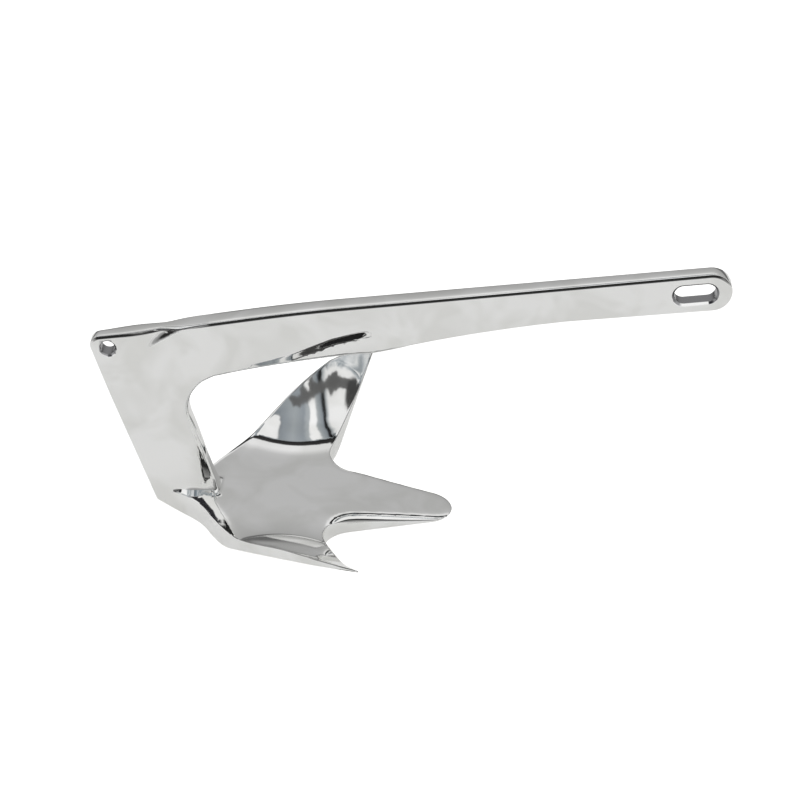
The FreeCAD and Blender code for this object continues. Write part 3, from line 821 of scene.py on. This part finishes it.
def close_seams(bm):
    """Splits an open edge where a corner of its other side lies on it, then merges the two sides."""
    seams = [edge for edge in bm.edges if edge.is_boundary]
    seams.sort(key=lambda seam: -seam.calc_length())
    corners = [vert for vert in bm.verts if vert.is_boundary]
    for edge in seams:
        start, end = edge.verts
        along = end.co - start.co
        for corner in corners:
            share = (corner.co - start.co).dot(along) / along.length_squared
            if 0.01 < share < 0.99 and (start.co + along * share - corner.co).length < SEAM_GAP:
                added = bmesh.utils.edge_split(edge, start, share)[1]
                added.co = corner.co
                break
    open_verts = [vert for vert in bm.verts if vert.is_boundary]
    bmesh.ops.remove_doubles(bm, verts=open_verts, dist=SEAM_GAP)


anchor = build_beam()
join(anchor, build_claw(), "UNION")
for name, shape in openings.items():
    join(anchor, opening_plug(name, *shape), "DIFFERENCE")

bm = bmesh.new()
bm.from_mesh(anchor.data)
close_seams(bm)
for edge in bm.edges:
    edge.smooth = edge.calc_face_angle(0.0) < SHARP_EDGE
for face in bm.faces:
    face.smooth = True
satin_and_shade = bm.verts.layers.float.new("satin_and_shade")
for vert in bm.verts:
    vert[satin_and_shade] = max(satin_and_shade_share(vert.co, *shape) for shape in openings.values())
bm.to_mesh(anchor.data)
bm.free()
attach(anchor, "root")
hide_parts("claw_anchor")


# Node helpers


def add_node(tree, kind, **settings):
    """New node of a kind, with its settings."""
    node = tree.nodes.new(kind)
    for name, value in settings.items():
        setattr(node, name, value)
    return node


def feed(tree, socket, value):
    """Links a socket to another one, or gives it a plain value."""
    if isinstance(value, bpy.types.NodeSocket):
        tree.links.new(value, socket)
    else:
        socket.default_value = value


def math_node(tree, operation, *values):
    """Output of a math node whose inputs are sockets or plain numbers."""
    node = add_node(tree, "ShaderNodeMath", operation=operation)
    for socket, value in zip(node.inputs, values):
        feed(tree, socket, value)
    return node.outputs[0]


def map_range(tree, value, span, result=(0.0, 1.0), swing="LINEAR"):
    """A span of a value moved to another span, and held at its ends."""
    node = add_node(tree, "ShaderNodeMapRange", interpolation_type=swing)
    tree.links.new(value, node.inputs["Value"])
    for name, number in zip(("From Min", "From Max", "To Min", "To Max"), (*span, *result)):
        node.inputs[name].default_value = number
    return node.outputs["Result"]


def noise(tree, place, scale, detail, distortion=0.0):
    """Soft noise over a place, about 0.5."""
    node = add_node(tree, "ShaderNodeTexNoise")
    tree.links.new(place, node.inputs["Vector"])
    node.inputs["Scale"].default_value = scale
    node.inputs["Detail"].default_value = detail
    node.inputs["Distortion"].default_value = distortion
    return node.outputs["Fac"]


def tone_ramp(tree, value, tones):
    """Colours along a value from 0 to 1. A tone is a grey or a colour."""
    node = add_node(tree, "ShaderNodeValToRGB")
    tree.links.new(value, node.inputs["Fac"])
    stops = node.color_ramp.elements
    while len(stops) > 1:
        stops.remove(stops[-1])
    for index, (position, tone) in enumerate(tones):
        stop = stops[0] if index == 0 else stops.new(position)
        stop.position = position
        stop.color = (*tone, 1.0) if isinstance(tone, tuple) else (tone, tone, tone, 1.0)
    return node.outputs["Color"]


def blend(tree, share, first, second):
    """Blend of two colours by a share."""
    node = add_node(tree, "ShaderNodeMix", data_type="RGBA")
    feed(tree, node.inputs["Factor"], share)
    feed(tree, node.inputs[6], first)
    feed(tree, node.inputs[7], second)
    return node.outputs[2]


def window(tree, value, low, high, soft):
    """1 between low and high, falling to 0 over a soft width outside them."""
    rise = map_range(tree, value, (low - soft, low), swing="SMOOTHSTEP")
    fall = map_range(tree, value, (high, high + soft), (1.0, 0.0), "SMOOTHSTEP")
    return math_node(tree, "MULTIPLY", rise, fall)


# Polished stainless steel, hazy and smudged a little, and satin on the walls of the openings, whose
# colour is darkened there as painted shade

STEEL = (0.86, 0.86, 0.85, 1.0)
# Painted shade in the openings, given as a darker steel colour
PAINTED_SHADE_STEEL = (0.34, 0.34, 0.35, 1.0)
SMUDGES = [(0.38, (0.80, 0.80, 0.785)), (0.60, (0.885, 0.885, 0.88))]
POLISH = (0.03, 0.07)
MILLED_ROUGHNESS = 0.22

steel = bpy.data.materials.new("polished_steel")
steel.use_nodes = True
tree = steel.node_tree
shader = tree.nodes["Principled BSDF"]
shader.inputs["Base Color"].default_value = STEEL
shader.inputs["Metallic"].default_value = 1.0
place = add_node(tree, "ShaderNodeTexCoord").outputs["Object"]
wall = add_node(tree, "ShaderNodeAttribute", attribute_name="satin_and_shade").outputs["Fac"]
haze = map_range(tree, noise(tree, place, 22.0, 3.0), (0.35, 0.7), POLISH)
feed(tree, shader.inputs["Roughness"], math_node(tree, "MULTIPLY_ADD", wall, MILLED_ROUGHNESS, haze))
smudged = tone_ramp(tree, noise(tree, place, 26.0, 2.0, 0.6), SMUDGES)
# The walls of the openings take the darker colour: painted shade in the recesses
feed(tree, shader.inputs["Base Color"], blend(tree, wall, smudged, PAINTED_SHADE_STEEL))
anchor.data.materials.append(steel)

# Studio: what the polished metal mirrors, by direction

OVERHEAD = [
    (0, 0.16), (8, 0.16), (13, 0.42), (31, 0.50), (37, 0.56), (43, 0.85), (50, 0.85), (53, 0.04),
    (64, 0.02), (66, (0.36, 0.39, 0.41)), (100, (0.40, 0.43, 0.45)), (104, 1.0), (140, 1.0),
    (143, 0.02), (154, 0.03), (159, 0.22), (166, 0.34), (174, 0.40), (179, 0.72), (180, 0.72)]
ACROSS = [
    (-0.60, 0.9), (-0.125, 0.95), (-0.115, (0.10, 0.12, 0.14)), (-0.108, (0.28, 0.31, 0.34)),
    (-0.02, (0.38, 0.41, 0.43)), (0.06, (0.30, 0.33, 0.36)), (0.085, (0.42, 0.45, 0.47)),
    (0.104, (0.44, 0.47, 0.49)), (0.111, 1.0), (0.162, 1.0), (0.174, (0.40, 0.43, 0.45)),
    (0.222, (0.26, 0.29, 0.32)), (0.230, 0.01), (0.252, 0.01), (0.260, (0.35, 0.38, 0.40)),
    (0.285, 0.92), (0.60, 0.95)]
SWIRL = [(0.36, (0.03, 0.045, 0.06)), (0.46, (0.20, 0.25, 0.29)), (0.56, (0.55, 0.58, 0.60)),
         (0.66, 0.95)]
WAVER = 0.05
BEAM_DARK = (0.13, 0.13, 0.13, 1.0)
LEAF_DARK = (0.06, 0.06, 0.06, 1.0)
DOORWAY_DARK = (0.03, 0.03, 0.035, 1.0)
WHITE = (1.0, 1.0, 1.0, 1.0)

world = bpy.data.worlds.new("studio")
bpy.context.scene.world = world
world.use_nodes = True
sky = world.node_tree
sky.nodes.clear()
direction = add_node(sky, "ShaderNodeTexCoord").outputs["Generated"]
ways = add_node(sky, "ShaderNodeSeparateXYZ")
sky.links.new(direction, ways.inputs[0])
sideways = ways.outputs["X"]

# Turn over the head: 0 at the horizon behind the anchor, 0.5 overhead, 1 at the horizon in front
upward = math_node(sky, "MAXIMUM", ways.outputs["Z"], 0.0)
turn = math_node(sky, "DIVIDE", math_node(sky, "ARCTAN2", upward, ways.outputs["Y"]), math.pi)
waver = math_node(sky, "MULTIPLY_ADD", noise(sky, direction, 14.0, 2.0), WAVER, -WAVER / 2)
wavering_turn = math_node(sky, "ADD", turn, math_node(sky, "MULTIPLY", waver, 0.8))


def turn_window(value, low, high, soft):
    """Window over a turn whose limits are in degrees."""
    return window(sky, value, low / 180, high / 180, soft / 180)


def patch(turn_share, low, high, soft):
    """The part of a turn window between two sideways places."""
    return math_node(sky, "MULTIPLY", turn_share, window(sky, sideways, low, high, soft))


# Strip lights and dark gaps across the ceiling, seen in the flukes. Their edges waver a little.
across = math_node(sky, "MULTIPLY_ADD", math_node(sky, "ADD", sideways, waver), 0.5, 0.5)
strips = tone_ramp(sky, across, [(0.5 + place_at * 0.5, tone) for place_at, tone in ACROSS])
beam_patch = patch(turn_window(wavering_turn, 82.2, 86.0, 0.5), -0.02, 0.44, 0.01)
strips = blend(sky, beam_patch, strips, BEAM_DARK)
leaf_patch = patch(turn_window(turn, 75, 91, 1.0), 0.44, 0.86, 0.02)
strips = blend(sky, leaf_patch, strips, LEAF_DARK)
swirl = tone_ramp(sky, noise(sky, direction, 30.0, 3.0, 1.5), SWIRL)
upper = math_node(sky, "MULTIPLY", turn_window(wavering_turn, 90, 120, 2.0), 0.8)
strips = blend(sky, upper, strips, swirl)
overhead = tone_ramp(sky, turn, [(degrees / 180, tone) for degrees, tone in OVERHEAD])
tones = blend(sky, turn_window(turn, 67, 99, 1.0), overhead, strips)

# Dark doorway high on the left, seen by way of the leg in the trough at the foot
doorway = patch(turn_window(turn, 116, 138, 2.0), -0.70, -0.16, 0.02)
tones = blend(sky, doorway, tones, DOORWAY_DARK)

# The camera itself sees plain white
studio = add_node(sky, "ShaderNodeBackground")
feed(sky, studio.inputs["Color"], tones)
white = add_node(sky, "ShaderNodeBackground")
feed(sky, white.inputs["Color"], WHITE)
seen_by = add_node(sky, "ShaderNodeMixShader")
feed(sky, seen_by.inputs["Fac"], add_node(sky, "ShaderNodeLightPath").outputs["Is Camera Ray"])
feed(sky, seen_by.inputs[1], studio.outputs[0])
feed(sky, seen_by.inputs[2], white.outputs[0])
feed(sky, add_node(sky, "ShaderNodeOutputWorld").inputs["Surface"], seen_by.outputs[0])

# Floor, with a patch of painted shade on it ahead of the near fluke that only the metal mirrors

FLOOR_SIZE = (4.0, 2.8, 1.0)
FLOOR_PLACE = (0.0, 0.2, 0.0)
PAPER = (0.8, 0.8, 0.79, 1.0)
# Colour of the painted shade patch on the floor
PAINTED_FLOOR_SHADE = (0.03, 0.03, 0.03, 1.0)
FLOOR_SHADE_ALONG = (-0.062, 0.0, 0.004)
FLOOR_SHADE_AHEAD = (-0.185, -0.105, 0.004)
GLOW = (1.0, 0.995, 0.98, 1.0)
SEEN_GLOW = 0.86
MIRRORED_GLOW = 0.34

bpy.ops.mesh.primitive_plane_add(size=1.0, location=FLOOR_PLACE)
floor = bpy.context.object
floor.name = "floor"
floor.scale = FLOOR_SIZE
paper = bpy.data.materials.new("floor_paper")
paper.use_nodes = True
tree = paper.node_tree
tree.nodes.clear()
rays = add_node(tree, "ShaderNodeLightPath")
ground = add_node(tree, "ShaderNodeSeparateXYZ")
feed(tree, ground.inputs[0], add_node(tree, "ShaderNodeNewGeometry").outputs["Position"])
# Painted shade on the floor beside the near fluke. Only glossy rays see it, so the metal shows it as a
# dark reflection
floor_shade = math_node(tree, "MULTIPLY", window(tree, ground.outputs["X"], *FLOOR_SHADE_ALONG),
                 window(tree, ground.outputs["Y"], *FLOOR_SHADE_AHEAD))
floor_shade = math_node(tree, "MULTIPLY", floor_shade, rays.outputs["Is Glossy Ray"])
matte = add_node(tree, "ShaderNodeBsdfDiffuse")
feed(tree, matte.inputs["Color"], blend(tree, floor_shade, PAPER, PAINTED_FLOOR_SHADE))
seen = math_node(tree, "MULTIPLY", rays.outputs["Is Camera Ray"], SEEN_GLOW)
mirrored_glow = math_node(tree, "MULTIPLY", rays.outputs["Is Glossy Ray"], MIRRORED_GLOW)
mirrored_glow = math_node(tree, "MULTIPLY", mirrored_glow, math_node(tree, "SUBTRACT", 1.0, floor_shade))
glow = add_node(tree, "ShaderNodeEmission")
feed(tree, glow.inputs["Color"], GLOW)
feed(tree, glow.inputs["Strength"], math_node(tree, "ADD", seen, mirrored_glow))
lit_paper = add_node(tree, "ShaderNodeAddShader")
feed(tree, lit_paper.inputs[0], matte.outputs[0])
feed(tree, lit_paper.inputs[1], glow.outputs[0])
feed(tree, add_node(tree, "ShaderNodeOutputMaterial").inputs["Surface"], lit_paper.outputs[0])
floor.data.materials.append(paper)
